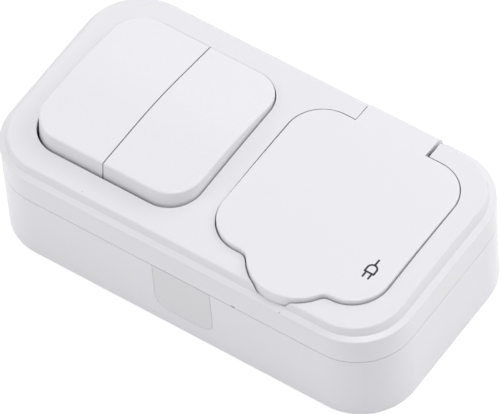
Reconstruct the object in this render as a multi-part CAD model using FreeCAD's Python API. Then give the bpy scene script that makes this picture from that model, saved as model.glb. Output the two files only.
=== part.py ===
import FreeCAD, Part
import math
import os

# Two rocker switches and one earthed socket outlet under a hinged lid, in one
# surface-mounted housing. Millimetres. The origin is the centre of the back face,
# +X runs along the housing towards the socket, +Y towards the lid's hinge, +Z to
# the front of the unit.

V = FreeCAD.Vector

# Standard sizes of the socket outlet and its plug
well_radius = 19.75
well_depth = 17.5
pin_pitch = 19.0
pin_length = 19.0
pin_hole_radius = 2.5
pin_room = 2.1

# Housing: margins round the two modules, walls and edges
module_pitch = 70.8
module_y = 0.5
end_margin = 10.9
side_margin = 10.5
corner_radius = 20.5
plate_crown = 1.2
riser_height = 3.0
riser_lean = 0.8
ledge_rise = 0.6
ledge_width = 2.2
skirt_height = 10.8
wall_taper = 0.3
wall = 2.0
floor_thickness = 2.4
plate_thickness = 2.0
back_edge = 0.5
plate_edge_radius = 0.7
skirt_edge_radius = 0.5

# Joint between box and cover
lip_height = 2.0
lip_gap = 0.15
seam_gap = 0.25
pry_notch_x = 22.8
pry_notch_width = 1.6
pry_notch_height = 0.8
hook_y = 16.0
hook_half_width = 4.0
hook_thickness = 1.4
hook_gap = 0.3
hook_reach = 5.0
hook_bite = 0.9
hook_nib = 1.4

# Rocker opening and keys
opening_step = 0.45
opening_radius = 12.0
opening_collar = 1.4
opening_collar_depth = 5.2
rocker_side_gap = 0.45
rocker_end_gap = 0.65
rocker_split = 0.5
rocker_wall = 1.8
rocker_lean = 0.25
rocker_peak = 5.7
rocker_slope = 4.5
rocker_tilt = 5.0
rocker_bend_radius = 150.0
rocker_pivot_drop = 4.9
rocker_skirt_drop = 3.7
rocker_edge_radius = 0.7

# Lid, its finger tab and its recess
lid_margin = 5.65
lid_radius = 13.0
lid_gap = 0.5
lid_back_gap = 0.2
lid_skin = 2.0
lid_rim = 1.6
lid_rim_gap = 0.6
lid_rise_back = 0.15
lid_rise_middle = 0.75
lid_rise_front = 1.9
lid_edge_radius = 0.5
lid_undercut = 1.3
lid_undercut_depth = 0.9
tab_reach = 9.0
tab_shoulder_gap = 0.1622
tab_fillet = 4.2
tab_offset = 1.2
tab_lift = 0.5
recess_depth = 4.0
recess_skin = 1.8
recess_wall = 1.6
shelf_gap = 0.3

# Lid hinge
hinge_inset = 3.8
knuckle_radius = 3.5
knuckle_gap = 0.5
knuckle_skin = 0.8
tongue_width = 26.9
tongue_offset = 0.95
tongue_left_gap = 0.3
tongue_right_gap = 1.3
hinge_pin_radius = 1.0
hinge_running_gap = 0.05
hinge_press_gap = 0.02
hinge_ear = 3.2
hinge_ear_half = 2.6
hinge_boss_radius = 1.8
hinge_end_wall = 0.6
lid_spring_width = 8.0
lid_spring_wire = 0.35
lid_spring_gap = 0.5

# Socket well and contacts
well_wall = 1.8
well_floor = 3.2
well_flange = 1.5
well_flange_width = 4.5
well_fit_gap = 0.4
well_edge_radius = 0.75
guide_rib_width = 5.0
guide_rib_reach = 1.6
sleeve_wall = 0.7
sleeve_gap = 0.3
sleeve_slit = 0.8
earth_strip = 0.8
earth_width = 7.0
earth_reach = 3.0
earth_rise = 10.0
earth_slot_gap = 0.5
earth_slot_drop = 2.2
earth_clamp_inset = 4.45

# Mechanism bases
mechanism_seat = 7.0
base_margin = 11.2
switch_base_drop = 14.0
sleeve_clamp_gap = 1.7
socket_base_side = 2.0
contact_seat = 6.0
pocket_gap = 0.3
cheek_thickness = 2.2
cheek_radius = 5.5
cradle_half_width = 8.0
cradle_half_length = 9.0
cradle_under = 2.2
cradle_over = 3.6
cradle_side_gap = 0.3
trunnion_radius = 2.0
trunnion_gap = 0.06
key_hook_thickness = 1.3
key_hook_gap = 0.1
key_hook_half = 4.0
key_rib_thickness = 1.2
key_rib_half = 7.0
arm_half = 3.6
arm_gap = 3.6
arm_roof = 1.0
plunger_radius = 1.95
plunger_gap = 0.15
plunger_lift = 0.25
plunger_spring_room = 7.4
plunger_spring_wire = 0.3
seesaw_drop = 19.4
seesaw_half_length = 10.0
seesaw_half_width = 3.0
seesaw_thickness = 1.0
seesaw_tilt = 8.0
knife_radius = 0.5
knife_gap = 0.06
rivet_inset = 1.5
rivet_radius = 1.6
rivet_height = 0.6

# Terminals and screws
strip = 1.0
strip_half = 2.0
clamp_half_x = 3.2
clamp_half_y = 2.8
clamp_height = 7.0
clamp_wall = 1.0
terminal_screw_radius = 1.25
terminal_head_radius = 2.2
terminal_head_height = 1.6
terminal_head_gap = 0.4
screw_radius = 1.6
screw_gap = 0.05
screw_head_radius = 3.0
screw_head_height = 1.8
screw_cross = 0.8
mechanism_screw_length = 7.8
mechanism_screw_grip = 4.0
cover_screw_length = 10.0
centre_screw_length = 10.0
screw_hole_spare = 1.0
boss_wall = 1.9
screw_clearance = 0.2

# Cable entry in the near wall
entry_x = 2.4
entry_half_width = 11.3
entry_height = 21.4
entry_radius = 5.0
entry_gap = 0.12
entry_flange = 1.6
entry_flange_thickness = 1.2

# Holes for the wall screws
wall_hole_radius = 2.3
wall_hole_inset_x = 16.0
wall_hole_inset_y = 15.2
wall_hole_collar = 2.4
wall_hole_collar_height = 2.0

# Derived heights, from the floor up through the plug's pins and the well
pin_end = floor_thickness + pin_room
well_bottom = pin_end + pin_length
rim_top = well_bottom + well_depth
recess_floor = rim_top - well_flange
plate_height = recess_floor + recess_depth
skirt_top = plate_height - riser_height - ledge_rise
seam = skirt_top - skirt_height
ledge_top = skirt_top + ledge_rise
plate_top = plate_height + plate_crown
plate_under = plate_height - plate_thickness
ledge_under = skirt_top - plate_thickness + 0.2
recess_under = recess_floor - recess_skin
shelf_z = ledge_top + shelf_gap
socket_base_top = well_bottom - well_floor
pivot_z = plate_height - rocker_pivot_drop
switch_base_top = pivot_z - switch_base_drop
contact_floor = mechanism_seat + contact_seat
seesaw_pivot_z = pivot_z - seesaw_drop
entry_bottom = seam - entry_height
high = plate_top + plate_height

# Derived widths, from the well outwards
flange_radius = well_radius + well_wall + well_flange_width
earth_arm = well_radius + well_wall / 2
lid_half = flange_radius + lid_margin
opening_half = lid_half - opening_step
tab_half = lid_half - lid_radius - tab_offset - tab_shoulder_gap
tab_radius = (tab_half ** 2 + tab_reach ** 2) / (2 * tab_reach) - tab_fillet
body_length = module_pitch + 2 * (lid_half + end_margin)
body_width = 2 * (lid_half + side_margin)
switch_x = -module_pitch / 2
socket_x = module_pitch / 2
plate_inset = ledge_width + riser_lean
plate_half_y = body_width / 2 - plate_inset
crown_radius = (plate_half_y ** 2 + plate_crown ** 2) / (2 * plate_crown)
crown_centre = plate_top - crown_radius
key_half_x = opening_half - rocker_side_gap
key_half_y = opening_half - rocker_end_gap
gang_offset = (key_half_x + rocker_split / 2) / 2
switch_base_half_y = opening_half - base_margin
sleeve_bore = pin_hole_radius
sleeve_radius = sleeve_bore + sleeve_wall
socket_clamp_offset = sleeve_radius + sleeve_clamp_gap + clamp_half_x
socket_base_half = pin_pitch / 2 + socket_clamp_offset + clamp_half_x + 4 * pocket_gap
socket_base_half_y = socket_base_half - socket_base_side
hinge_y = body_width / 2 - hinge_inset
hinge_z = plate_height - knuckle_radius
tongue_x = socket_x - tongue_offset
notch_left = tongue_x - tongue_width / 2 - tongue_left_gap
notch_right = tongue_x + tongue_width / 2 + tongue_right_gap
pin_left = notch_left - hinge_ear + hinge_end_wall
pin_right = notch_right + hinge_ear - hinge_end_wall


def rounded_wire(cx, cy, half_x, half_y, radius, z):
    """A closed rectangle with round corners, as four lines and four arcs."""
    r = min(radius, half_x - 0.01, half_y - 0.01)
    k = r * (1 - math.sqrt(0.5))
    x0, x1 = cx - half_x, cx + half_x
    y0, y1 = cy - half_y, cy + half_y
    arc = lambda a, b, c: Part.Arc(V(*a, z), V(*b, z), V(*c, z)).toShape()
    line = lambda a, b: Part.LineSegment(V(*a, z), V(*b, z)).toShape()
    edges = [
        line((x0 + r, y0), (x1 - r, y0)),
        arc((x1 - r, y0), (x1 - k, y0 + k), (x1, y0 + r)),
        line((x1, y0 + r), (x1, y1 - r)),
        arc((x1, y1 - r), (x1 - k, y1 - k), (x1 - r, y1)),
        line((x1 - r, y1), (x0 + r, y1)),
        arc((x0 + r, y1), (x0 + k, y1 - k), (x0, y1 - r)),
        line((x0, y1 - r), (x0, y0 + r)),
        arc((x0, y0 + r), (x0 + k, y0 + k), (x0 + r, y0)),
    ]
    return Part.Wire(edges)


def prism(wire, height):
    return Part.Face(wire).extrude(V(0, 0, height))


def rounded_prism(cx, cy, half_x, half_y, radius, z0, z1):
    return prism(rounded_wire(cx, cy, half_x, half_y, radius, z0), z1 - z0)


def block(x0, x1, y0, y1, z0, z1):
    return Part.makeBox(x1 - x0, y1 - y0, z1 - z0, V(x0, y0, z0))


def post(x, y, half_x, half_y, z0, z1):
    """A block centred on x and y."""
    return block(x - half_x, x + half_x, y - half_y, y + half_y, z0, z1)


def upright(x, y, radius, z0, z1):
    return Part.makeCylinder(radius, z1 - z0, V(x, y, z0))


def crossways(x0, x1, y, z, radius):
    return Part.makeCylinder(radius, x1 - x0, V(x0, y, z), V(1, 0, 0))


def side_profile(points, x0, x1):
    """A closed outline in the YZ plane, carried along X."""
    corners = [V(x0, y, z) for y, z in points]
    return Part.Face(Part.makePolygon(corners + corners[:1])).extrude(V(x1 - x0, 0, 0))


def bent_strip(points, thickness):
    """The closed outline of a strip of even thickness along a bent centre line."""
    normals = []
    for (ya, za), (yb, zb) in zip(points, points[1:]):
        length = math.hypot(yb - ya, zb - za)
        normals.append(((za - zb) / length, (yb - ya) / length))
    left, right = [], []
    for i, (y, z) in enumerate(points):
        before = normals[max(i - 1, 0)]
        after = normals[min(i, len(normals) - 1)]
        ny = before[0] + after[0]
        nz = before[1] + after[1]
        reach = thickness / 2 / (ny * before[0] + nz * before[1])
        left.append((y + ny * reach, z + nz * reach))
        right.append((y - ny * reach, z - nz * reach))
    return left + right[::-1]


def fuse(first, *others):
    return first.fuse(list(others)).removeSplitter()


def edges_where(shape, test):
    return [edge for edge in shape.Edges if test(edge)]


def housing_wire(inset, z):
    """The housing's outline, moved inwards from the top of the skirt."""
    half_x = body_length / 2 - inset
    half_y = body_width / 2 - inset
    return rounded_wire(0, 0, half_x, half_y, corner_radius - inset, z)


def housing_loft(stations):
    wires = [housing_wire(inset, z) for inset, z in stations]
    return Part.makeLoft(wires, True, True)


def lean(z):
    return wall_taper * (skirt_top - z) / skirt_top


def crown_z(y):
    return crown_centre + math.sqrt(crown_radius ** 2 - y ** 2)


def under_crown(drop, bottom):
    """Everything under the plate's crowned surface, lowered by drop."""
    reach = body_width / 2
    edge = crown_z(reach) - drop
    arc = Part.Arc(V(0, reach, edge), V(0, 0, plate_top - drop), V(0, -reach, edge)).toShape()
    corners = [V(0, -reach, edge), V(0, -reach, bottom), V(0, reach, bottom), V(0, reach, edge)]
    rest = Part.makePolygon(corners)
    face = Part.Face(Part.Wire([arc] + rest.Edges))
    face.translate(V(-body_length, 0, 0))
    return face.extrude(V(2 * body_length, 0, 0))


def entry_shape(grow, z_top, y0, y1):
    """The cable entry's outline: straight sides, rounded lower corners."""
    half = entry_half_width + grow
    bottom = entry_bottom - grow
    r = entry_radius + grow
    k = r * (1 - math.sqrt(0.5))
    x0, x1 = entry_x - half, entry_x + half
    at = lambda x, z: V(x, y0, z)
    edges = [
        Part.LineSegment(at(x0, z_top), at(x0, bottom + r)).toShape(),
        Part.Arc(at(x0, bottom + r), at(x0 + k, bottom + k), at(x0 + r, bottom)).toShape(),
        Part.LineSegment(at(x0 + r, bottom), at(x1 - r, bottom)).toShape(),
        Part.Arc(at(x1 - r, bottom), at(x1 - k, bottom + k), at(x1, bottom + r)).toShape(),
        Part.LineSegment(at(x1, bottom + r), at(x1, z_top)).toShape(),
        Part.LineSegment(at(x1, z_top), at(x0, z_top)).toShape(),
    ]
    return Part.Face(Part.Wire(edges)).extrude(V(0, y1 - y0, 0))


def cover_screw_places():
    """In the near left and far right corners of the lid's recess, clear of the well's flange."""
    along = flange_radius * 0.9
    across = flange_radius * 0.826
    return [(socket_x - along, module_y - across), (socket_x + along, module_y + across)]


def switch_screw_places():
    reach = switch_base_half_y - screw_head_radius - screw_hole_spare
    return [(switch_x, module_y + side * reach) for side in (-1, 1)]


def socket_screw_places():
    reach = socket_base_half_y - screw_head_radius - 2 * screw_hole_spare
    return [(pin_x(side), module_y + side * reach) for side in (-1, 1)]


def wall_hole_places():
    reach_x = body_length / 2 - wall_hole_inset_x
    reach_y = body_width / 2 - wall_hole_inset_y
    return [(sx * reach_x, sy * reach_y) for sx in (-1, 1) for sy in (-1, 1)]


def hook_places():
    return [module_y - hook_y, module_y + hook_y]


def end_profile(points, y0, y1):
    """A closed outline in the XZ plane, carried along Y."""
    corners = [V(x, y0, z) for x, z in points]
    return Part.Face(Part.makePolygon(corners + corners[:1])).extrude(V(0, y1 - y0, 0))


def make_back_box():
    outer = housing_loft([(lean(0) + back_edge, 0), (lean(0), back_edge), (lean(seam), seam)])
    lip = housing_loft([(wall / 2 + lip_gap, seam), (wall / 2 + lip_gap, seam + lip_height)])
    hollow = housing_loft([(lean(0) + wall, floor_thickness), (lean(seam) + wall, seam)])
    throat = housing_loft([(lean(seam) + wall, seam), (lean(seam) + wall, seam + lip_height)])
    box = outer.fuse([lip]).cut([hollow, throat]).removeSplitter()
    near = -body_width / 2
    entry_high = seam + lip_height + 1.0
    inside = near + wall
    box = box.cut([entry_shape(0, seam, near - 1, inside + lean(0) + 2)])
    box = box.cut([entry_shape(entry_flange + entry_gap, entry_high, inside + lean(seam), inside + 4)])
    half = entry_half_width + entry_flange
    box = box.cut([block(entry_x - half, entry_x + half, near, inside + 2, seam, entry_high)])
    posts, holes = [], []
    for x, y in switch_screw_places() + socket_screw_places():
        depth = mechanism_seat + mechanism_screw_grip - mechanism_screw_length - screw_hole_spare / 2
        posts.append(upright(x, y, screw_radius + boss_wall, floor_thickness, mechanism_seat))
        holes.append(upright(x, y, screw_radius + screw_gap, depth, mechanism_seat))
    for x, y in cover_screw_places():
        depth = recess_floor - cover_screw_length - screw_hole_spare
        posts.append(upright(x, y, screw_radius + boss_wall, floor_thickness, recess_under))
        holes.append(upright(x, y, screw_radius + screw_gap, depth, recess_under))
    for x, y in wall_hole_places():
        collar_top = floor_thickness + wall_hole_collar_height
        posts.append(upright(x, y, wall_hole_radius + wall_hole_collar, floor_thickness, collar_top))
        holes.append(upright(x, y, wall_hole_radius, -1, collar_top + 1))
    end = wall - body_length / 2
    for y in hook_places():
        top = seam - hook_reach + hook_nib
        holes.append(block(end + hook_gap - hook_bite - hook_gap, end + 1, y - hook_half_width - hook_gap,
                           y + hook_half_width + hook_gap, seam - hook_reach - hook_gap, top + lip_gap))
    return box.fuse(posts).cut(holes).removeSplitter()


def make_cable_entry_insert():
    near = -body_width / 2
    skin = housing_loft([(lean(0), 0), (lean(seam), seam)])
    core = housing_loft([(lean(0) + wall, -1), (lean(seam) + wall, seam + 1)])
    plug = skin.cut(core).common(entry_shape(-entry_gap, seam, near - 1, near + 6))
    face = near + lean(entry_bottom) + wall + 0.3
    behind = entry_shape(entry_flange, seam + lip_height, face, face + entry_flange_thickness)
    bridge = entry_shape(-entry_gap, seam, near + lean(seam) + wall - 0.4, face + 0.1)
    return fuse(plug, bridge, behind)


def lid_outline(grow, z, with_tab, pinch=0.0):
    """The lid's outline from above: a rounded square, with the finger tab at the front.

    A pinch moves the back edge in, for the narrower gap that the recess leaves there.
    """
    centre_y = module_y - pinch / 2
    half_y = lid_half + grow - pinch / 2
    square = Part.Face(rounded_wire(socket_x, centre_y, lid_half + grow, half_y, lid_radius + grow, z))
    if not with_tab:
        return square
    front = centre_y - half_y
    big = tab_radius + grow
    small = tab_fillet - grow
    middle = module_y - lid_half - tab_reach + tab_radius
    side_y = front - small
    side_x = math.sqrt((big + small) ** 2 - (side_y - middle) ** 2)
    join_x = side_x * big / (big + small)
    join_y = middle + (side_y - middle) * big / (big + small)
    mid_angle = (math.pi / 2 + math.atan2(join_y - side_y, side_x - join_x)) / 2
    mid_x = side_x - small * math.cos(mid_angle)
    mid_y = side_y + small * math.sin(mid_angle)
    tab_x = socket_x + tab_offset
    at = lambda x, y: V(tab_x + x, y, z)
    inside = front + tab_fillet
    edges = [
        Part.Arc(at(-side_x, front), at(-mid_x, mid_y), at(-join_x, join_y)).toShape(),
        Part.Arc(at(-join_x, join_y), at(0, middle - big), at(join_x, join_y)).toShape(),
        Part.Arc(at(join_x, join_y), at(mid_x, mid_y), at(side_x, front)).toShape(),
        Part.LineSegment(at(side_x, front), at(side_x, inside)).toShape(),
        Part.LineSegment(at(side_x, inside), at(-side_x, inside)).toShape(),
        Part.LineSegment(at(-side_x, inside), at(-side_x, front)).toShape(),
    ]
    tab = Part.Face(Part.Wire(edges))
    return square.fuse([tab]).removeSplitter().Faces[0]


def lid_prism(grow, z0, z1, with_tab, pinch=0.0):
    return lid_outline(grow, z0, with_tab, pinch).extrude(V(0, 0, z1 - z0))


def make_cover_frame():
    top_inset = plate_inset + riser_lean * (plate_crown + 1) / riser_height
    shell = housing_loft([(lean(seam), seam + seam_gap), (0, skirt_top)])
    ledge = housing_loft([(0, skirt_top), (ledge_width, ledge_top)])
    riser = housing_loft([(ledge_width, ledge_top), (top_inset, plate_top + 1)])
    envelope = fuse(shell, ledge, riser).common(under_crown(0, 0)).removeSplitter()
    rim = edges_where(envelope, lambda e: e.BoundBox.ZMin > ledge_top + 1.0)
    envelope = envelope.makeFillet(plate_edge_radius, rim)
    level = lambda e: abs(e.BoundBox.ZMin - skirt_top) < 0.01 and e.BoundBox.ZLength < 0.01
    brow = edges_where(envelope, level)
    envelope = envelope.makeFillet(skirt_edge_radius, brow)

    lower = housing_loft([(lean(seam) + wall, seam), (wall, ledge_under)])
    upper = housing_loft([(plate_inset + wall, ledge_under), (plate_inset + wall, plate_under)])
    rebate = housing_loft([(wall / 2, seam), (wall / 2, seam + lip_height)])
    collar_half = opening_half + opening_collar
    collar_radius = opening_radius + opening_collar
    collar_foot = plate_height - opening_collar_depth
    collar = rounded_prism(switch_x, module_y, collar_half, collar_half, collar_radius,
                           collar_foot, plate_height)
    pinch = lid_gap - lid_back_gap
    tub = lid_prism(lid_gap + recess_wall, recess_under, plate_height, False, pinch)
    shelf = lid_prism(lid_gap + recess_wall, shelf_z - recess_skin, shelf_z, True, pinch).common(envelope)
    ears = []
    for x0, x1 in ((notch_left - hinge_ear, notch_left), (notch_right, notch_right + hinge_ear)):
        ears.append(block(x0, x1, hinge_y - hinge_ear_half, hinge_y + hinge_ear_half - 1.0,
                          hinge_z - hinge_ear_half, plate_under + 0.5))
    cover = envelope.cut([lower, upper, rebate])
    cover = cover.fuse([collar, tub, shelf] + ears + make_hooks()).removeSplitter()

    opening = rounded_prism(switch_x, module_y, opening_half, opening_half, opening_radius, seam, high)
    recess = lid_prism(lid_gap, recess_floor, high, False, pinch)
    tab_room = lid_prism(lid_gap, shelf_z, high, True, pinch)
    well_hole = upright(socket_x, module_y, well_radius + well_wall + well_fit_gap, seam, high)
    notch = crossways(notch_left, notch_right, hinge_y, hinge_z, knuckle_radius + knuckle_gap)
    slot = block(notch_left, notch_right, module_y + lid_half - 1, body_width, hinge_z, high)
    screws = [upright(x, y, screw_radius + screw_clearance, seam, high) for x, y in cover_screw_places()]
    pry = block(pry_notch_x - pry_notch_width / 2, pry_notch_x + pry_notch_width / 2, -body_width / 2 - 1,
                -body_width / 2 + wall / 2, seam, seam + pry_notch_height)
    cover = cover.cut([opening, recess, tab_room, well_hole, notch, slot, pry] + screws)
    boss_left = notch_right - tongue_right_gap + tongue_left_gap
    boss = crossways(boss_left, notch_right + 0.1, hinge_y, hinge_z, hinge_boss_radius)
    pin_bore = crossways(pin_left, pin_right, hinge_y, hinge_z, hinge_pin_radius + hinge_press_gap)
    return cover.fuse([boss]).cut([pin_bore]).removeSplitter()


def make_hooks():
    """Two snap hooks inside the cover's switch end, which reach down into pockets in the box."""
    end = wall - body_length / 2
    outer = end + hook_gap
    inner = outer + hook_thickness
    tip = seam - hook_reach
    root = seam + lip_height + 1.0
    outline = [(inner, ledge_under + 0.3), (end - 0.3, ledge_under + 0.3), (end - 0.3, root),
               (outer, root), (outer, tip + hook_nib), (outer - hook_bite, tip + hook_nib),
               (outer - 0.1, tip), (inner, tip)]
    return [end_profile(outline, y - hook_half_width, y + hook_half_width) for y in hook_places()]


def lid_top_z(y):
    """Height of the lid's slightly domed top, on the arc through its back, middle and front."""
    back = module_y + lid_half
    front = module_y - lid_half
    zb = crown_z(back) + lid_rise_back
    zm = crown_z(0) + lid_rise_middle
    zf = crown_z(front) + lid_rise_front
    u = (y - front) / (back - front)
    bulge = zm - (zb + zf) / 2
    return zf + (zb - zf) * u + 4 * bulge * u * (1 - u)


def under_lid_top(drop, bottom):
    back = hinge_y + knuckle_radius
    front = module_y - lid_half - tab_reach - 2.0
    middle = module_y
    ends = [V(0, y, lid_top_z(y) - drop) for y in (back, middle, front)]
    arc = Part.Arc(*ends).toShape()
    rest = Part.makePolygon([ends[2], V(0, front, bottom), V(0, back, bottom), ends[0]])
    face = Part.Face(Part.Wire([arc] + rest.Edges))
    face.translate(V(socket_x - body_length / 2, 0, 0))
    return face.extrude(V(body_length, 0, 0))


def make_lid():
    rim_bottom = recess_floor + lid_rim_gap
    back = module_y + lid_half
    body = lid_prism(0, rim_bottom, high, False)
    tab = lid_prism(0, shelf_z + tab_lift, high, True)
    front_part = block(0, body_length, -body_width, module_y - lid_half + tab_fillet, rim_bottom, high)
    solid = body.fuse([tab.common(front_part)]).removeSplitter()
    solid = solid.common(under_lid_top(0, 0)).removeSplitter()
    brim = edges_where(solid, lambda e: e.BoundBox.ZMin > plate_height + 0.3)
    solid = solid.makeFillet(lid_edge_radius, brim)
    hollow = lid_prism(-lid_rim, rim_bottom - 1, high, False).common(under_lid_top(lid_skin, 0))
    lift = plate_height - lid_undercut_depth
    relief = side_profile([(back - lid_radius, rim_bottom - 1), (back - lid_radius, rim_bottom),
                           (back - lid_undercut, lift), (back + 0.05, plate_height + 0.6),
                           (back + 3, plate_height + 0.6), (back + 3, rim_bottom - 1)], 0, body_length)
    solid = solid.cut([hollow, relief])

    x0 = tongue_x - tongue_width / 2
    x1 = tongue_x + tongue_width / 2
    start = back - 5
    tongue = side_profile([(start, lid_top_z(start) - lid_skin), (start, lid_top_z(start) - 0.3),
                           (back - 0.5, lid_top_z(back - 0.5)), (hinge_y, hinge_z + knuckle_radius),
                           (hinge_y, hinge_z + 1.2), (back + 1, lid_top_z(back) - lid_skin)], x0, x1)
    knuckle = crossways(x0, x1, hinge_y, hinge_z, knuckle_radius)
    solid = fuse(solid, tongue, knuckle)
    bore = crossways(x0, x1, hinge_y, hinge_z, hinge_pin_radius + hinge_running_gap)
    room = lid_spring_width / 2 + lid_spring_gap
    coil_radius = knuckle_radius - knuckle_skin
    coil_room = crossways(tongue_x - room, tongue_x + room, hinge_y, hinge_z, coil_radius)
    leg_room = block(tongue_x - room, tongue_x + room, hinge_y - knuckle_radius - 1,
                     hinge_y + knuckle_radius + 1, hinge_z - knuckle_radius - 1, hinge_z)
    return solid.cut([bore, coil_room, leg_room]).removeSplitter()


def make_hinge_pin():
    return crossways(pin_left, pin_right, hinge_y, hinge_z, hinge_pin_radius)


def coil(length, radius, wire, turns):
    """A round-wire helix that rises from the origin along Z."""
    helix = Part.makeHelix(length / turns, length, radius)
    ring = Part.Wire(Part.makeCircle(wire, V(radius, 0, 0), V(0, 1, 0)))
    return Part.Wire(helix.Edges).makePipeShell([ring], True, True)


def make_lid_spring():
    length = lid_spring_width - 2 * lid_spring_wire
    radius = (hinge_pin_radius + knuckle_radius - knuckle_skin) / 2
    spring = coil(length, radius, lid_spring_wire, 5)
    spring.rotate(V(0, 0, 0), V(0, 1, 0), 90)
    spring.translate(V(tongue_x - length / 2, hinge_y, hinge_z))
    leg_end = module_y + lid_half + lid_back_gap + recess_wall + 0.05
    leg_foot = V(tongue_x - length / 2, leg_end, hinge_z - radius)
    leg = Part.makeCylinder(lid_spring_wire, hinge_y - leg_end, leg_foot, V(0, 1, 0))
    return spring.fuse([leg]).removeSplitter()


def make_socket_well():
    tube = upright(socket_x, module_y, well_radius + well_wall, socket_base_top, rim_top)
    flange = upright(socket_x, module_y, flange_radius, recess_floor, rim_top)
    outer_rim = edges_where(flange, lambda e: e.BoundBox.ZMin > rim_top - 0.01)
    flange = flange.makeFillet(well_edge_radius, outer_rim)
    bowl = upright(socket_x, module_y, well_radius, well_bottom, high)
    well = fuse(tube, flange).cut([bowl])
    top_edges = edges_where(well, lambda e: e.BoundBox.ZMin > rim_top - 0.01)
    mouth = [edge for edge in top_edges if edge.BoundBox.XLength < 2 * well_radius + 0.1]
    well = well.makeFillet(well_edge_radius, mouth)
    ribs = []
    for side in (-1, 1):
        x_wall = socket_x + side * (well_radius + 0.5)
        x_face = socket_x + side * (well_radius - guide_rib_reach)
        ribs.append(block(min(x_wall, x_face), max(x_wall, x_face), module_y - guide_rib_width / 2,
                          module_y + guide_rib_width / 2, well_bottom, rim_top - well_flange))
    well = well.fuse(ribs).removeSplitter()
    cuts = [upright(pin_x(side), module_y, pin_hole_radius, 0, high) for side in (-1, 1)]
    cuts.append(upright(socket_x, module_y, screw_radius + screw_clearance, 0, high))
    head_room = screw_head_radius + screw_clearance
    cuts.append(upright(socket_x, module_y, head_room, centre_screw_seat(), high))
    half = earth_width / 2 + earth_slot_gap
    for side in (-1, 1):
        y_in = module_y + side * (well_radius - earth_reach - 1.0)
        y_out = module_y + side * (well_radius + well_wall + 1)
        cuts.append(block(socket_x - half, socket_x + half, min(y_in, y_out), max(y_in, y_out),
                          0, recess_floor - earth_slot_drop))
    return well.cut(cuts).removeSplitter()


def centre_screw_seat():
    return well_bottom - screw_head_height - 0.1


def strap_top():
    return socket_base_top - terminal_head_height - terminal_head_gap


def earth_line():
    """Half of the earth strap's centre line, from the middle outwards and up the well."""
    arm = earth_arm
    base = strap_top() - earth_strip / 2
    inward = arm - earth_reach - 1.2
    grip = well_bottom + earth_rise
    return [(0, base), (arm - earth_strip, base), (arm, base + earth_strip),
            (arm, well_bottom + earth_rise / 2), (inward, grip), (inward, grip + 1.0),
            (arm - earth_strip, recess_floor - earth_slot_drop - earth_strip)]


def earth_clamp_y():
    return module_y - earth_arm + earth_clamp_inset


def make_earth_clip():
    half = earth_line()
    line = [(-y, z) for y, z in half[:0:-1]] + half[1:]
    outline = [(module_y + y, z) for y, z in bent_strip(line, earth_strip)]
    strap = side_profile(outline, socket_x - earth_width / 2, socket_x + earth_width / 2)
    y = earth_clamp_y()
    holes = [upright(socket_x, module_y, screw_radius + screw_clearance, 0, well_bottom),
             upright(socket_x, y, terminal_screw_radius + screw_gap, 0, well_bottom)]
    grip = clamp(socket_x, y, strap_top() - clamp_height)
    return fuse(strap.cut(holes), grip)


def clamp(x, y, z):
    """A terminal clamp: a short square tube open along Y, with a screw hole in its top."""
    body = post(x, y, clamp_half_x, clamp_half_y, z, z + clamp_height)
    throat = post(x, y, clamp_half_x - clamp_wall, clamp_half_y + 1, z + clamp_wall,
                  z + clamp_height - clamp_wall)
    hole = upright(x, y, terminal_screw_radius + screw_gap, z + clamp_wall, z + clamp_height + 1)
    return body.cut([throat, hole])


def terminal_screw(x, y, z):
    """The clamp's screw, with a slot across its head. z is the clamp's underside."""
    top = z + clamp_height
    thin = terminal_head_radius / 6
    shank = upright(x, y, terminal_screw_radius, z + 2.5 * clamp_wall, top)
    head = upright(x, y, terminal_head_radius, top, top + terminal_head_height)
    slot = block(x - thin, x + thin, y - terminal_head_radius, y + terminal_head_radius,
                 top + terminal_head_height * 0.5, top + terminal_head_height + 1)
    return fuse(shank, head).cut([slot])


def cross_screw(x, y, seat, length):
    """A pan-head screw with a cross recess, standing on seat."""
    top = seat + screw_head_height
    shank = upright(x, y, screw_radius, seat - length, seat)
    head = upright(x, y, screw_head_radius, seat, top)
    rim = edges_where(head, lambda e: e.BoundBox.ZMin > top - 0.01)
    head = head.makeFillet(screw_head_height * 0.4, rim)
    wide = screw_cross * 2
    thin = screw_cross / 2
    deep = top - screw_head_height * 0.6
    bars = [block(x - a, x + a, y - b, y + b, deep, top + 1) for a, b in ((wide, thin), (thin, wide))]
    return fuse(shank, head).cut(bars)


def gang_x(side):
    return switch_x + side * gang_offset


def switch_clamp_reach():
    return switch_base_half_y - clamp_half_y - pocket_gap


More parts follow.
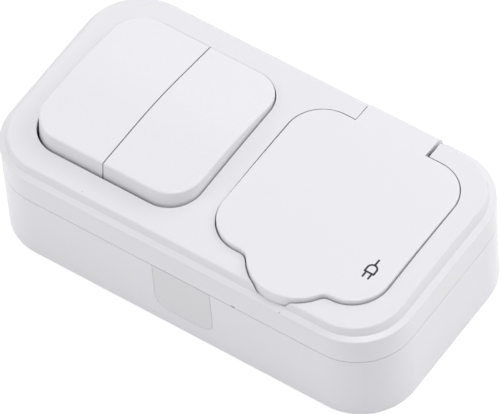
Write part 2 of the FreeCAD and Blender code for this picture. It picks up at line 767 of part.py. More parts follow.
def make_switch_base():
    half_x = gang_offset + cradle_half_width + cradle_side_gap + cheek_thickness + 1.4
    half_y = switch_base_half_y
    base = rounded_prism(switch_x, module_y, half_x, half_y, 3.0, mechanism_seat, switch_base_top)
    over = switch_base_top + 1
    pocket_x = seesaw_half_width + 4.2
    pocket_y = seesaw_half_length + 2.5
    lane = clamp_half_x + pocket_gap
    cheeks, cuts = [], []
    for gang in (-1, 1):
        x = gang_x(gang)
        for side in (-1, 1):
            inner = x + side * (cradle_half_width + cradle_side_gap)
            outer = inner + side * cheek_thickness
            x0, x1 = min(inner, outer), max(inner, outer)
            middle = (x0 + x1) / 2
            cheeks.append(post(middle, module_y, cheek_thickness / 2, cheek_radius,
                               mechanism_seat, pivot_z))
            cheeks.append(crossways(x0, x1, module_y, pivot_z, cheek_radius))
        cuts.append(post(x, module_y, pocket_x, pocket_y, contact_floor, over))
        cuts.append(post(x, module_y, lane, half_y + 1, contact_floor, over))
        reach = cradle_half_width + cradle_side_gap + cheek_thickness + 1
        cuts.append(crossways(x - reach, x + reach, module_y, pivot_z, trunnion_radius + trunnion_gap))
    cuts.append(post(switch_x, module_y, gang_offset, strip_half + pocket_gap,
                     contact_floor, contact_floor + strip + pocket_gap))
    seat = mechanism_seat + mechanism_screw_grip
    for x, y in switch_screw_places():
        cuts.append(upright(x, y, screw_radius + screw_clearance, 0, over))
        cuts.append(upright(x, y, screw_head_radius + pocket_gap, seat, over))
    return base.fuse(cheeks).cut(cuts).removeSplitter()


def make_common_terminal():
    over = strip_half + 3.0
    bar = block(gang_x(-1) - over, gang_x(1) + over, module_y - strip_half, module_y + strip_half,
                contact_floor, contact_floor + strip)
    knives = []
    for gang in (-1, 1):
        x0 = gang_x(gang) - seesaw_half_width + knife_radius
        x1 = gang_x(gang) + seesaw_half_width - knife_radius
        neck = knife_radius * 0.7
        knives.append(side_profile([(module_y - strip_half + neck, contact_floor),
                                    (module_y + strip_half - neck, contact_floor),
                                    (module_y + neck, seesaw_pivot_z - neck),
                                    (module_y - neck, seesaw_pivot_z - neck)], x0, x1))
        knives.append(crossways(x0, x1, module_y, seesaw_pivot_z, knife_radius))
    y = module_y - switch_clamp_reach()
    x = gang_x(-1)
    arm = block(x - strip_half, x + strip_half, y, module_y, contact_floor, contact_floor + strip)
    return fuse(bar, *knives, arm, clamp(x, y, contact_floor))


def make_switched_contact(gang):
    x = gang_x(gang)
    y = module_y + switch_clamp_reach()
    reach = seesaw_half_length - rivet_inset
    contact_y = module_y + reach
    arm = block(x - strip_half, x + strip_half, contact_y - rivet_radius, y,
                contact_floor, contact_floor + strip)
    drop = reach * math.sin(math.radians(seesaw_tilt))
    rivet_top = seesaw_pivot_z - drop - rivet_height - pocket_gap
    rivet = upright(x, contact_y, rivet_radius, contact_floor, rivet_top)
    return fuse(arm, rivet, clamp(x, y, contact_floor))


def make_seesaw(gang):
    """The moving contact: a dished bar that rocks on the round edge of the common terminal."""
    x = gang_x(gang)
    z = seesaw_pivot_z
    half = seesaw_half_width
    bar = post(x, module_y, half, seesaw_half_length, z, z + seesaw_thickness)
    rivet_y = module_y + seesaw_half_length - rivet_inset
    rivet = upright(x, rivet_y, rivet_radius - 0.1, z - rivet_height, z)
    groove = crossways(x - half, x + half, module_y, z, knife_radius + knife_gap)
    shape = fuse(bar, rivet).cut([groove])
    shape.rotate(V(x, module_y, z), V(1, 0, 0), seesaw_tilt)
    return shape


def tilt(shape):
    """From the middle of its travel to the position in which the near edge stands up."""
    shape.rotate(V(switch_x, module_y, pivot_z), V(1, 0, 0), -rocker_tilt)
    return shape


def rocker_top(drop, bottom):
    """Under the rocker's top: two slopes that meet in a wide bend."""
    slope = math.radians(rocker_slope)
    peak = plate_height + rocker_peak - drop
    bend = (rocker_bend_radius - drop) * math.sin(slope)
    sag = (rocker_bend_radius - drop) * (1 - math.cos(slope))
    reach = opening_half + 2.0
    end = peak - sag - (reach - bend) * math.tan(slope)
    arc = Part.Arc(V(0, bend, peak - sag), V(0, 0, peak), V(0, -bend, peak - sag)).toShape()
    rest = Part.makePolygon([V(0, -bend, peak - sag), V(0, -reach, end), V(0, -reach, bottom),
                             V(0, reach, bottom), V(0, reach, end), V(0, bend, peak - sag)])
    face = Part.Face(Part.Wire([arc] + rest.Edges))
    face.translate(V(switch_x - reach, module_y, 0))
    return face.extrude(V(2 * reach, 0, 0))


def key_wire(inset, z):
    """The pair of keys' outline from above, moved inwards."""
    radius = opening_radius - rocker_side_gap - inset
    return rounded_wire(switch_x, module_y, key_half_x - inset, key_half_y - inset, radius, z)


def make_rocker(side):
    bottom = plate_height - rocker_skirt_drop
    top = plate_height + rocker_peak + 1
    outer = Part.makeLoft([key_wire(0, bottom), key_wire(rocker_lean, top)], True, True)
    near = switch_x + side * rocker_split / 2
    far = switch_x + side * (key_half_x + 1)
    half = block(min(near, far), max(near, far), -body_width, body_width, 0, high)
    key = outer.common(rocker_top(0, 0)).common(half).removeSplitter()
    outside = lambda e: e.BoundBox.ZMin > plate_height - 1 and abs(e.CenterOfMass.x - near) > 0.01
    key = key.makeFillet(rocker_edge_radius, edges_where(key, outside))
    room = prism(key_wire(rocker_lean + rocker_wall, 0), high)
    gap_side = near + side * rocker_wall
    pocket = block(min(gap_side, far), max(gap_side, far), -body_width, body_width, 0, high)
    key = key.cut([room.common(rocker_top(rocker_wall + 0.2, 0)).common(pocket)])

    x = gang_x(side)
    under = plate_height + rocker_peak - rocker_wall
    rib_out = key_hook_half + 2.0
    lugs = []
    for rib_x in (x - rib_out + key_rib_thickness / 2, x + rib_out - key_rib_thickness / 2):
        lugs.append(post(rib_x, module_y, key_rib_thickness / 2, key_rib_half,
                         pivot_z + cradle_over, under))
    hook_top = pivot_z - cradle_under - key_hook_gap
    hook_low = hook_top - key_hook_thickness * 0.85
    for end in (-1, 1):
        y_in = module_y + end * (cradle_half_length + key_hook_gap)
        y_out = y_in + end * key_hook_thickness
        y_nib = y_in - end * 0.8
        lugs.append(block(x - key_hook_half, x + key_hook_half, min(y_in, y_out), max(y_in, y_out),
                          hook_low, under))
        lugs.append(block(x - key_hook_half, x + key_hook_half, min(y_nib, y_out), max(y_nib, y_out),
                          hook_low, hook_top))
    return tilt(key.fuse(lugs).removeSplitter())


def arm_end():
    return seesaw_pivot_z + seesaw_thickness + arm_gap


def make_cradle(side):
    x = gang_x(side)
    length = cradle_half_length
    waist = length - 2.0
    under = pivot_z - cradle_under
    over = pivot_z + cradle_over
    outline = [(-length, under), (length, under), (length, over - 2.2), (waist, over), (-waist, over),
               (-length, over - 2.2)]
    plate = side_profile([(module_y + y, z) for y, z in outline],
                         x - cradle_half_width, x + cradle_half_width)
    reach = cradle_half_width + cradle_side_gap + cheek_thickness
    trunnions = crossways(x - reach, x + reach, module_y, pivot_z, trunnion_radius)
    arm = rounded_prism(x, module_y, arm_half, arm_half, 1.2, arm_end(), pivot_z)
    bore = upright(x, module_y, plunger_radius + plunger_gap, arm_end() - 1, pivot_z - arm_roof)
    return tilt(fuse(plate, trunnions, arm).cut([bore]))


def plunger_top():
    return pivot_z - arm_roof - plunger_spring_room


def make_plunger(side):
    x = gang_x(side)
    tip = seesaw_pivot_z + seesaw_thickness + plunger_lift + plunger_radius
    stem = upright(x, module_y, plunger_radius, tip, plunger_top())
    nose = Part.makeSphere(plunger_radius, V(x, module_y, tip))
    return tilt(fuse(stem, nose))


def make_plunger_spring(side):
    x = gang_x(side)
    low = plunger_top() + plunger_spring_wire + 0.05
    length = pivot_z - arm_roof - plunger_spring_wire - 0.05 - low
    spring = coil(length, plunger_radius - plunger_spring_wire - 0.1, plunger_spring_wire, 4)
    spring.translate(V(x, module_y, low))
    return tilt(spring)


def pin_x(side):
    return socket_x + side * pin_pitch / 2


def socket_clamp_x(side):
    return pin_x(side) + side * socket_clamp_offset


def socket_clamp_z():
    return socket_base_top - terminal_head_height - clamp_height - 2 * terminal_head_gap


def make_pin_contact(side):
    x = pin_x(side)
    sleeve = upright(x, module_y, sleeve_radius, pin_end, socket_base_top - terminal_head_gap)
    bore = upright(x, module_y, sleeve_bore, 0, high)
    slit = post(x, module_y + sleeve_bore, sleeve_slit / 2, sleeve_bore, pin_end + 5, high)
    z = socket_clamp_z()
    tab_from = x + side * (sleeve_bore + 0.2)
    tab_to = socket_clamp_x(side) - side * (clamp_half_x - 0.5)
    tab = block(min(tab_from, tab_to), max(tab_from, tab_to), module_y - strip_half, module_y + strip_half,
                z, z + strip)
    grip = clamp(socket_clamp_x(side), module_y, z)
    return fuse(sleeve, tab).cut([bore, slit]).fuse([grip]).removeSplitter()


def make_socket_base():
    whole = rounded_prism(socket_x, module_y, socket_base_half, socket_base_half_y, 5.0,
                          mechanism_seat, socket_base_top)
    keel_half = pin_pitch / 2 + sleeve_radius + 1.6
    keel_foot = pin_end - sleeve_wall - sleeve_gap
    keel = rounded_prism(socket_x, module_y, keel_half, 5.0, 4.5, keel_foot, mechanism_seat + 1)
    round_top = upright(socket_x, module_y, well_radius + well_wall, mechanism_seat, high)
    shoulder = block(0, body_length, -body_width, body_width, 0, socket_base_top - 4.0)
    body = whole.common(round_top.fuse([shoulder])).fuse([keel])
    cuts = []
    z = socket_clamp_z()
    gap = pocket_gap
    for side in (-1, 1):
        cuts.append(upright(pin_x(side), module_y, sleeve_radius + sleeve_gap, pin_end - 0.2, high))
        x = socket_clamp_x(side)
        cuts.append(block(x - clamp_half_x - gap, x + clamp_half_x + gap, -body_width,
                          module_y + clamp_half_y + 1.5, z, high))
        tab_from = pin_x(side)
        cuts.append(block(min(tab_from, x), max(tab_from, x), module_y - strip_half - gap,
                          module_y + strip_half + gap, z, high))
    lane = earth_width / 2 + gap
    cuts.append(post(socket_x, 0, lane, body_width, strap_top() - earth_strip, high))
    y = earth_clamp_y()
    cuts.append(block(socket_x - clamp_half_x - gap, socket_x + clamp_half_x + gap, -body_width,
                      y + clamp_half_y + gap, strap_top() - clamp_height, high))
    depth = centre_screw_seat() - centre_screw_length - screw_hole_spare
    cuts.append(upright(socket_x, module_y, screw_radius + screw_gap, depth, high))
    seat = mechanism_seat + mechanism_screw_grip
    for x, y in socket_screw_places():
        cuts.append(upright(x, y, screw_radius + screw_clearance, 0, high))
        cuts.append(upright(x, y, screw_head_radius + gap, seat, high))
    return body.cut(cuts).removeSplitter()


def switch_clamp_places():
    """The clamps of the switch: the common one, then one for each gang."""
    reach = switch_clamp_reach()
    return [(gang_x(-1), module_y - reach), (gang_x(-1), module_y + reach), (gang_x(1), module_y + reach)]


def make_switch_terminal_screws():
    return Part.makeCompound([terminal_screw(x, y, contact_floor) for x, y in switch_clamp_places()])


def make_socket_terminal_screws():
    screws = [terminal_screw(socket_clamp_x(side), module_y, socket_clamp_z()) for side in (-1, 1)]
    screws.append(terminal_screw(socket_x, earth_clamp_y(), strap_top() - clamp_height))
    return Part.makeCompound(screws)


def make_mechanism_screws():
    places = switch_screw_places() + socket_screw_places()
    seat = mechanism_seat + mechanism_screw_grip
    return Part.makeCompound([cross_screw(x, y, seat, mechanism_screw_length) for x, y in places])


def make_cover_screws():
    places = cover_screw_places()
    return Part.makeCompound([cross_screw(x, y, recess_floor, cover_screw_length) for x, y in places])


def make_socket_centre_screw():
    return cross_screw(socket_x, module_y, centre_screw_seat(), centre_screw_length)


def export(name, shape):
    shape.exportStep("parts/" + name + ".step")


def main():
    os.makedirs("parts", exist_ok=True)
    export("back_box", make_back_box())
    export("cable_entry_insert", make_cable_entry_insert())
    export("cover_frame", make_cover_frame())
    export("lid", make_lid())
    export("hinge_pin", make_hinge_pin())
    export("socket_well", make_socket_well())
    export("socket_base", make_socket_base())
    export("switch_base", make_switch_base())
    export("common_terminal", make_common_terminal())
    export("earth_clip", make_earth_clip())
    export("lid_spring", make_lid_spring())
    export("switch_terminal_screws", make_switch_terminal_screws())
    export("socket_terminal_screws", make_socket_terminal_screws())
    export("mechanism_screws", make_mechanism_screws())
    export("cover_screws", make_cover_screws())
    export("socket_centre_screw", make_socket_centre_screw())
    for side, word in ((-1, "left"), (1, "right")):
        export("rocker_" + word, make_rocker(side))
        export("cradle_" + word, make_cradle(side))
        export("plunger_" + word, make_plunger(side))
        export("plunger_spring_" + word, make_plunger_spring(side))
        export("seesaw_" + word, make_seesaw(side))
        export("switched_contact_" + word, make_switched_contact(side))
        export("pin_contact_" + word, make_pin_contact(side))


main()
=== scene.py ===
import math

import bmesh
import bpy
from mathutils import Matrix, Vector


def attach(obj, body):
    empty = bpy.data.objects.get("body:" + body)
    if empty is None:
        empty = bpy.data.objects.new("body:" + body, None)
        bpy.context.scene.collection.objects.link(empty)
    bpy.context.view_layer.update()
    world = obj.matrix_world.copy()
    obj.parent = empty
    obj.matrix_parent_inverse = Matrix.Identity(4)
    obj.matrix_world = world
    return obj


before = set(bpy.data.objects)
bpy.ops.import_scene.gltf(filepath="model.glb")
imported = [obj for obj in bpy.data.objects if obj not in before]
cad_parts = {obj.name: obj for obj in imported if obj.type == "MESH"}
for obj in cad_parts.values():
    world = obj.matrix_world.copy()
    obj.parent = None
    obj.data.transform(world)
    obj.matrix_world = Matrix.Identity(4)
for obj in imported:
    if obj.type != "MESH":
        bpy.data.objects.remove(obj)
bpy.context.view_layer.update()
print("frame loaded:", len(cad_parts), "nodes")


def deselectAll():
    bpy.ops.object.select_all(action="DESELECT")


# node helpers
def addNode(tree, kind, at, **settings):
    node = tree.nodes.new(kind)
    node.location = at
    for key, value in settings.items():
        setattr(node, key, value)
    return node


def newGroup(name, inputs, outputs):
    group = bpy.data.node_groups.new(name, "ShaderNodeTree")
    for label, kind, value in inputs:
        socket = group.interface.new_socket(label, in_out="INPUT", socket_type=kind)
        if value is not None:
            socket.default_value = value
    for label, kind in outputs:
        group.interface.new_socket(label, in_out="OUTPUT", socket_type=kind)
    start = addNode(group, "NodeGroupInput", (-700, 0))
    end = addNode(group, "NodeGroupOutput", (500, 0))
    return group, start, end


# specks of dust: cells above emptyShare have one, and radius is a part of the cell
dust = {"cellsPerMetre": 110.0, "emptyShare": 0.5, "radius": 0.028}


# the skin of moulded plastic: a very fine grain, and a few specks of dust
def makeMouldedSkin():
    group, start, end = newGroup(
        "mouldedSkin",
        [("Grain Size", "NodeSocketFloat", 6000.0),
         ("Dust Size", "NodeSocketFloat", dust["cellsPerMetre"]), ("Dust", "NodeSocketFloat", 0.0),
         ("Roughness Low", "NodeSocketFloat", 0.3), ("Roughness High", "NodeSocketFloat", 0.4),
         ("Colour", "NodeSocketColor", (0.8, 0.8, 0.8, 1.0))],
        [("Colour", "NodeSocketColor"), ("Roughness", "NodeSocketFloat"),
         ("Height", "NodeSocketFloat")])
    links = group.links
    coord = addNode(group, "ShaderNodeTexCoord", (-700, -260))
    grain = addNode(group, "ShaderNodeTexNoise", (-460, -320))
    grain.inputs["Detail"].default_value = 3.0
    links.new(coord.outputs["Object"], grain.inputs["Vector"])
    links.new(start.outputs["Grain Size"], grain.inputs["Scale"])
    rough = addNode(group, "ShaderNodeMapRange", (-200, 120))
    links.new(grain.outputs["Fac"], rough.inputs["Value"])
    rough.inputs["From Min"].default_value = 0.3
    rough.inputs["From Max"].default_value = 0.7
    links.new(start.outputs["Roughness Low"], rough.inputs["To Min"])
    links.new(start.outputs["Roughness High"], rough.inputs["To Max"])
    links.new(rough.outputs["Result"], end.inputs["Roughness"])
    cells = addNode(group, "ShaderNodeTexVoronoi", (-460, -60))
    links.new(coord.outputs["Object"], cells.inputs["Vector"])
    links.new(start.outputs["Dust Size"], cells.inputs["Scale"])
    few = addNode(group, "ShaderNodeSeparateColor", (-280, -160))
    links.new(cells.outputs["Color"], few.inputs["Color"])
    chosen = addNode(group, "ShaderNodeMath", (-120, -160), operation="GREATER_THAN")
    chosen.inputs[1].default_value = dust["emptyShare"]
    links.new(few.outputs["Red"], chosen.inputs[0])
    small = addNode(group, "ShaderNodeMath", (-280, -20), operation="LESS_THAN")
    small.inputs[1].default_value = dust["radius"]
    links.new(cells.outputs["Distance"], small.inputs[0])
    speck = addNode(group, "ShaderNodeMath", (20, -80), operation="MULTIPLY")
    links.new(small.outputs[0], speck.inputs[0])
    links.new(chosen.outputs[0], speck.inputs[1])
    shade = addNode(group, "ShaderNodeMath", (180, -80), operation="MULTIPLY")
    links.new(speck.outputs[0], shade.inputs[0])
    links.new(start.outputs["Dust"], shade.inputs[1])
    kept = addNode(group, "ShaderNodeMath", (180, -220), operation="SUBTRACT")
    kept.inputs[0].default_value = 1.0
    links.new(shade.outputs[0], kept.inputs[1])
    colour = addNode(group, "ShaderNodeVectorMath", (340, -60), operation="SCALE")
    links.new(start.outputs["Colour"], colour.inputs[0])
    links.new(kept.outputs[0], colour.inputs["Scale"])
    links.new(colour.outputs["Vector"], end.inputs["Colour"])
    links.new(grain.outputs["Fac"], end.inputs["Height"])
    return group


# brushed or drawn metal: long fine streaks along one axis
def makeMetalSkin():
    group, start, end = newGroup(
        "metalSkin",
        [("Streak Size", "NodeSocketFloat", 900.0), ("Roughness Low", "NodeSocketFloat", 0.22),
         ("Roughness High", "NodeSocketFloat", 0.42),
         ("Colour", "NodeSocketColor", (0.6, 0.6, 0.6, 1.0))],
        [("Colour", "NodeSocketColor"), ("Roughness", "NodeSocketFloat"),
         ("Height", "NodeSocketFloat")])
    links = group.links
    coord = addNode(group, "ShaderNodeTexCoord", (-900, -160))
    stretch = addNode(group, "ShaderNodeMapping", (-700, -160))
    stretch.inputs["Scale"].default_value = (1.0, 0.12, 1.0)
    streak = addNode(group, "ShaderNodeTexNoise", (-460, -100))
    streak.inputs["Detail"].default_value = 4.0
    links.new(coord.outputs["Object"], stretch.inputs["Vector"])
    links.new(stretch.outputs["Vector"], streak.inputs["Vector"])
    links.new(start.outputs["Streak Size"], streak.inputs["Scale"])
    rough = addNode(group, "ShaderNodeMapRange", (-200, 120))
    links.new(streak.outputs["Fac"], rough.inputs["Value"])
    rough.inputs["From Min"].default_value = 0.25
    rough.inputs["From Max"].default_value = 0.75
    links.new(start.outputs["Roughness Low"], rough.inputs["To Min"])
    links.new(start.outputs["Roughness High"], rough.inputs["To Max"])
    links.new(rough.outputs["Result"], end.inputs["Roughness"])
    shade = addNode(group, "ShaderNodeMapRange", (-200, -100))
    shade.inputs["To Min"].default_value = 0.9
    shade.inputs["To Max"].default_value = 1.08
    links.new(streak.outputs["Fac"], shade.inputs["Value"])
    colour = addNode(group, "ShaderNodeVectorMath", (60, -60), operation="SCALE")
    links.new(start.outputs["Colour"], colour.inputs[0])
    links.new(shade.outputs["Result"], colour.inputs["Scale"])
    links.new(colour.outputs["Vector"], end.inputs["Colour"])
    links.new(streak.outputs["Fac"], end.inputs["Height"])
    return group


mouldedSkin = makeMouldedSkin()
metalSkin = makeMetalSkin()


reliefDepth = 0.0002  # of every finish's bump, in metres


def skinMaterial(name, skin, colour, low, high, bump, dusty=0.0, metallic=0.0):
    material = bpy.data.materials.new(name)
    material.use_nodes = True
    tree = material.node_tree
    shader = tree.nodes["Principled BSDF"]
    group = addNode(tree, "ShaderNodeGroup", (-420, 120), node_tree=skin)
    group.inputs["Colour"].default_value = (*colour, 1.0)
    group.inputs["Roughness Low"].default_value = low
    group.inputs["Roughness High"].default_value = high
    if dusty:
        group.inputs["Dust"].default_value = dusty
    relief = addNode(tree, "ShaderNodeBump", (-200, -160))
    relief.inputs["Strength"].default_value = bump
    relief.inputs["Distance"].default_value = reliefDepth
    tree.links.new(group.outputs["Colour"], shader.inputs["Base Color"])
    tree.links.new(group.outputs["Roughness"], shader.inputs["Roughness"])
    tree.links.new(group.outputs["Height"], relief.inputs["Height"])
    tree.links.new(relief.outputs["Normal"], shader.inputs["Normal"])
    shader.inputs["Metallic"].default_value = metallic
    return material


# colour, the range of roughness, the strength of the bump, and how dark the dust is
finishes = {
    "housingWhite": dict(colour=(0.80, 0.795, 0.83), low=0.32, high=0.36, bump=0.015, dusty=0.4),
    "keyWhite": dict(colour=(0.81, 0.805, 0.84), low=0.26, high=0.30, bump=0.01, dusty=0.4),
    "lidWhite": dict(colour=(0.81, 0.805, 0.84), low=0.28, high=0.32, bump=0.01, dusty=0.4),
    "insertWhite": dict(colour=(0.74, 0.735, 0.755), low=0.38, high=0.42, bump=0.02, dusty=0.4),
    "wellWhite": dict(colour=(0.80, 0.80, 0.82), low=0.30, high=0.40, bump=0.03),
    "mechanismGrey": dict(colour=(0.42, 0.43, 0.45), low=0.5, high=0.62, bump=0.12),
    "cradleGrey": dict(colour=(0.22, 0.23, 0.25), low=0.45, high=0.6, bump=0.12),
    "plungerWhite": dict(colour=(0.62, 0.61, 0.58), low=0.4, high=0.5, bump=0.08),
    "symbolInk": dict(colour=(0.02, 0.02, 0.028), low=0.45, high=0.55, bump=0.02),
}
metals = {
    "springSteel": dict(colour=(0.56, 0.56, 0.58), low=0.18, high=0.34, bump=0.05),
    "pinSteel": dict(colour=(0.58, 0.58, 0.6), low=0.2, high=0.36, bump=0.06),
    "contactBrass": dict(colour=(0.78, 0.56, 0.24), low=0.24, high=0.42, bump=0.06),
    "earthStrip": dict(colour=(0.66, 0.65, 0.64), low=0.22, high=0.4, bump=0.06),
    "screwSteel": dict(colour=(0.62, 0.62, 0.63), low=0.26, high=0.42, bump=0.08),
}
materials = {name: skinMaterial(name, mouldedSkin, **values) for name, values in finishes.items()}
for name, values in metals.items():
    materials[name] = skinMaterial(name, metalSkin, metallic=1.0, **values)

nodeFinish = {
    "back_box": "housingWhite", "cable_entry_insert": "insertWhite", "cover_frame": "housingWhite",
    "rocker_left": "keyWhite", "rocker_right": "keyWhite", "lid": "lidWhite",
    "socket_well": "wellWhite", "socket_base": "mechanismGrey", "switch_base": "mechanismGrey",
    "cradle_left": "cradleGrey", "cradle_right": "cradleGrey",
    "plunger_left": "plungerWhite", "plunger_right": "plungerWhite",
    "plunger_spring_left": "springSteel", "plunger_spring_right": "springSteel",
    "lid_spring": "springSteel", "hinge_pin": "pinSteel",
    "seesaw_left": "contactBrass", "seesaw_right": "contactBrass",
    "common_terminal": "contactBrass",
    "switched_contact_left": "contactBrass", "switched_contact_right": "contactBrass",
    "pin_contact_left": "contactBrass", "pin_contact_right": "contactBrass",
    "earth_clip": "earthStrip",
    "switch_terminal_screws": "screwSteel", "socket_terminal_screws": "screwSteel",
    "socket_centre_screw": "screwSteel", "mechanism_screws": "screwSteel",
    "cover_screws": "screwSteel",
}
for nodeName, finish in nodeFinish.items():
    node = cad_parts[nodeName]
    node.data.materials.clear()
    node.data.materials.append(materials[finish])
print("finishes on", len(nodeFinish), "nodes")


# the printed plug symbol on the lid, in the frame's metres
symbol = {
    "x": 0.0593,
    "cordEnd": -0.0115,
    "bodyTop": -0.0139,
    "bodyEdge": -0.0172,
    "prongEnd": -0.0194,
    "bodyHalf": 0.00168,
    "prongHalf": 0.00104,
    "line": 0.00068,
    "film": 0.00003,
    "archSteps": 16,
    "endSteps": 5,
    "rayHeight": 0.1,
    "mergeDistance": 0.000001,
}
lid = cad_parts["lid"]


def lidHeight(x, y):
    return lid.ray_cast(Vector((x, y, symbol["rayHeight"])), Vector((0, 0, -1)))[1].z


# one flat ribbon with round ends along the path, laid on the lid
def makeStroke(path):
    half = symbol["line"] / 2
    stations = []
    steps = symbol["endSteps"]
    for i in range(steps):
        angle = math.pi / 2 * (1 - i / steps)
        stations.append((path[0], path[1] - path[0], -math.sin(angle), math.cos(angle)))
    for i, point in enumerate(path):
        before = path[max(i - 1, 0)]
        after = path[min(i + 1, len(path) - 1)]
        stations.append((point, after - before, 0.0, 1.0))
    for i in range(1, steps + 1):
        angle = math.pi / 2 * i / steps
        stations.append((path[-1], path[-1] - path[-2], math.sin(angle), math.cos(angle)))
    deselectAll()
    bpy.ops.mesh.primitive_grid_add(x_subdivisions=len(stations) - 1, y_subdivisions=1, size=1)
    ribbon = bpy.context.object
    bpy.ops.object.mode_set(mode="EDIT")
    mesh = bmesh.from_edit_mesh(ribbon.data)
    for vert in mesh.verts:
        station = round((vert.co.x + 0.5) * (len(stations) - 1))
        side = 1 if vert.co.y > 0 else -1
        centre, travel, ahead, wide = stations[station]
        along = travel.normalized()
        flat = centre + along * ahead * half + Vector((-along.y, along.x)) * side * wide * half
        vert.co = (flat.x, flat.y, lidHeight(flat.x, flat.y) + symbol["film"])
    bmesh.ops.remove_doubles(mesh, verts=mesh.verts, dist=symbol["mergeDistance"])
    bmesh.update_edit_mesh(ribbon.data)
    bpy.ops.object.mode_set(mode="OBJECT")
    solid = ribbon.modifiers.new("thickness", "SOLIDIFY")
    solid.thickness = 2 * symbol["film"]
    solid.offset = -1.0
    bpy.ops.object.modifier_apply(modifier="thickness")
    return ribbon


def makeSymbol():
    x = symbol["x"]
    half = symbol["bodyHalf"]
    edge = symbol["bodyEdge"]
    centre = symbol["bodyTop"] - half
    steps = symbol["archSteps"]
    angles = [math.pi * i / steps for i in range(steps + 1)]
    roundTop = [Vector((x + half * math.cos(a), centre + half * math.sin(a))) for a in angles]
    strokes = [
        [Vector((x + half, edge))] + roundTop + [Vector((x - half, edge))],
        [Vector((x - half, edge)), Vector((x, edge)), Vector((x + half, edge))],
        [Vector((x, symbol["cordEnd"])), Vector((x, symbol["bodyTop"]))],
    ]
    for side in (-1, 1):
        prong = x + side * symbol["prongHalf"]
        strokes.append([Vector((prong, edge)), Vector((prong, symbol["prongEnd"]))])
    ribbons = [makeStroke(path) for path in strokes]
    deselectAll()
    for ribbon in ribbons:
        ribbon.select_set(True)
    bpy.context.view_layer.objects.active = ribbons[0]
    bpy.ops.object.join()
    plug = bpy.context.object
    plug.name = "plugSymbol"
    plug.data.materials.append(materials["symbolInk"])
    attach(plug, "lid_body")


makeSymbol()
print("symbol on the lid")


# floor, world and lights
studio = {
    "floorSize": 6.0,
    "floorDrop": 0.0002,
    "floorColour": (0.86, 0.86, 0.86, 1.0),
    "floorGlow": 0.5,
    "worldLight": 0.517,
    "aim": (0.0, 0.0, 0.02),
}
lamps = {
    "overhead": dict(place=(0.2, 0.1, 2.0), size=1.2, power=10.9),
    "rightLamp": dict(place=(1.7, 0.3, 0.9), size=1.0, power=1.3),
    "frontLeftLamp": dict(place=(-1.3, -1.3, 0.9), size=1.0, power=7.7),
    "rearLamp": dict(place=(-0.4, 1.6, 1.3), size=1.2, power=3.3),
    "rearRightLamp": dict(place=(1.2, 1.3, 1.3), size=1.2, power=9.4),
}


def makeFloor():
    low = (0, 0, -studio["floorDrop"])
    bpy.ops.mesh.primitive_plane_add(size=studio["floorSize"], location=low)
    floor = bpy.context.object
    floor.name = "floor"
    material = bpy.data.materials.new("floorPale")
    material.use_nodes = True
    tree = material.node_tree
    tree.nodes.clear()
    out = addNode(tree, "ShaderNodeOutputMaterial", (400, 0))
    paint = addNode(tree, "ShaderNodeBsdfDiffuse", (-200, 100))
    paint.inputs["Color"].default_value = studio["floorColour"]
    glow = addNode(tree, "ShaderNodeEmission", (-200, -60))
    seen = addNode(tree, "ShaderNodeLightPath", (-600, -60))
    either = addNode(tree, "ShaderNodeMath", (-400, -60), operation="MAXIMUM")
    tree.links.new(seen.outputs["Is Camera Ray"], either.inputs[0])
    tree.links.new(seen.outputs["Is Glossy Ray"], either.inputs[1])
    share = addNode(tree, "ShaderNodeMath", (-300, -200), operation="MULTIPLY")
    share.inputs[1].default_value = studio["floorGlow"]
    tree.links.new(either.outputs[0], share.inputs[0])
    tree.links.new(share.outputs[0], glow.inputs["Strength"])
    add = addNode(tree, "ShaderNodeAddShader", (150, 0))
    tree.links.new(paint.outputs[0], add.inputs[0])
    tree.links.new(glow.outputs[0], add.inputs[1])
    tree.links.new(add.outputs[0], out.inputs["Surface"])
    floor.data.materials.append(material)


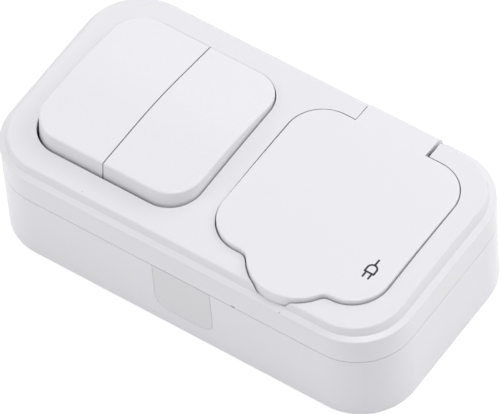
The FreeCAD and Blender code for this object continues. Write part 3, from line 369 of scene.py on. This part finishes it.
def makeWorld():
    world = bpy.data.worlds.new("studioWorld")
    bpy.context.scene.world = world
    world.use_nodes = True
    tree = world.node_tree
    back = tree.nodes["Background"]
    back.inputs["Color"].default_value = (1, 1, 1, 1)
    rays = addNode(tree, "ShaderNodeLightPath", (-700, 200))
    seen = addNode(tree, "ShaderNodeMath", (-500, 200), operation="MAXIMUM")
    either = addNode(tree, "ShaderNodeMath", (-340, 200), operation="MAXIMUM")
    tree.links.new(rays.outputs["Is Camera Ray"], seen.inputs[0])
    tree.links.new(rays.outputs["Is Glossy Ray"], seen.inputs[1])
    tree.links.new(seen.outputs[0], either.inputs[0])
    tree.links.new(rays.outputs["Is Transmission Ray"], either.inputs[1])
    level = addNode(tree, "ShaderNodeMapRange", (-180, 200))
    level.inputs["To Min"].default_value = studio["worldLight"]
    level.inputs["To Max"].default_value = 1.0
    tree.links.new(either.outputs[0], level.inputs["Value"])
    tree.links.new(level.outputs["Result"], back.inputs["Strength"])


def makeLight(name, place, size, power):
    data = bpy.data.lights.new(name, "AREA")
    data.shape = "DISK"
    data.size = size
    data.energy = power
    lamp = bpy.data.objects.new(name, data)
    bpy.context.collection.objects.link(lamp)
    lamp.location = place
    towards = Vector(studio["aim"]) - Vector(place)
    lamp.rotation_euler = towards.to_track_quat("-Z", "Y").to_euler()


makeFloor()
makeWorld()
for lampName, lamp in lamps.items():
    makeLight(lampName, lamp["place"], lamp["size"], lamp["power"])
print("floor, world and lights are in")


# the camera stands where the photograph was taken from
viewpoint = {
    "place": (0.9400, -1.1783, 2.0403),
    "right": (0.82401, 0.56395, -0.05448),
    "down": (0.42667, -0.68092, -0.59523),
    "ahead": (-0.37278, 0.46723, -0.80171),
    "lens": 561.0,
    "sensorWidth": 36.0,
    "clipStart": 0.05,
}


def makeCamera():
    data = bpy.data.cameras.new("photoCamera")
    data.sensor_fit = "HORIZONTAL"
    data.sensor_width = viewpoint["sensorWidth"]
    data.lens = viewpoint["lens"]
    data.clip_start = viewpoint["clipStart"]
    camera = bpy.data.objects.new("photoCamera", data)
    bpy.context.collection.objects.link(camera)
    right = Vector(viewpoint["right"])
    up = -Vector(viewpoint["down"])
    back = -Vector(viewpoint["ahead"])
    turn = Matrix((right, up, back)).transposed()
    camera.matrix_world = Matrix.Translation(Vector(viewpoint["place"])) @ turn.to_4x4()
    bpy.context.scene.camera = camera


makeCamera()
bpy.context.scene.view_settings.view_transform = "Standard"
print("camera set")
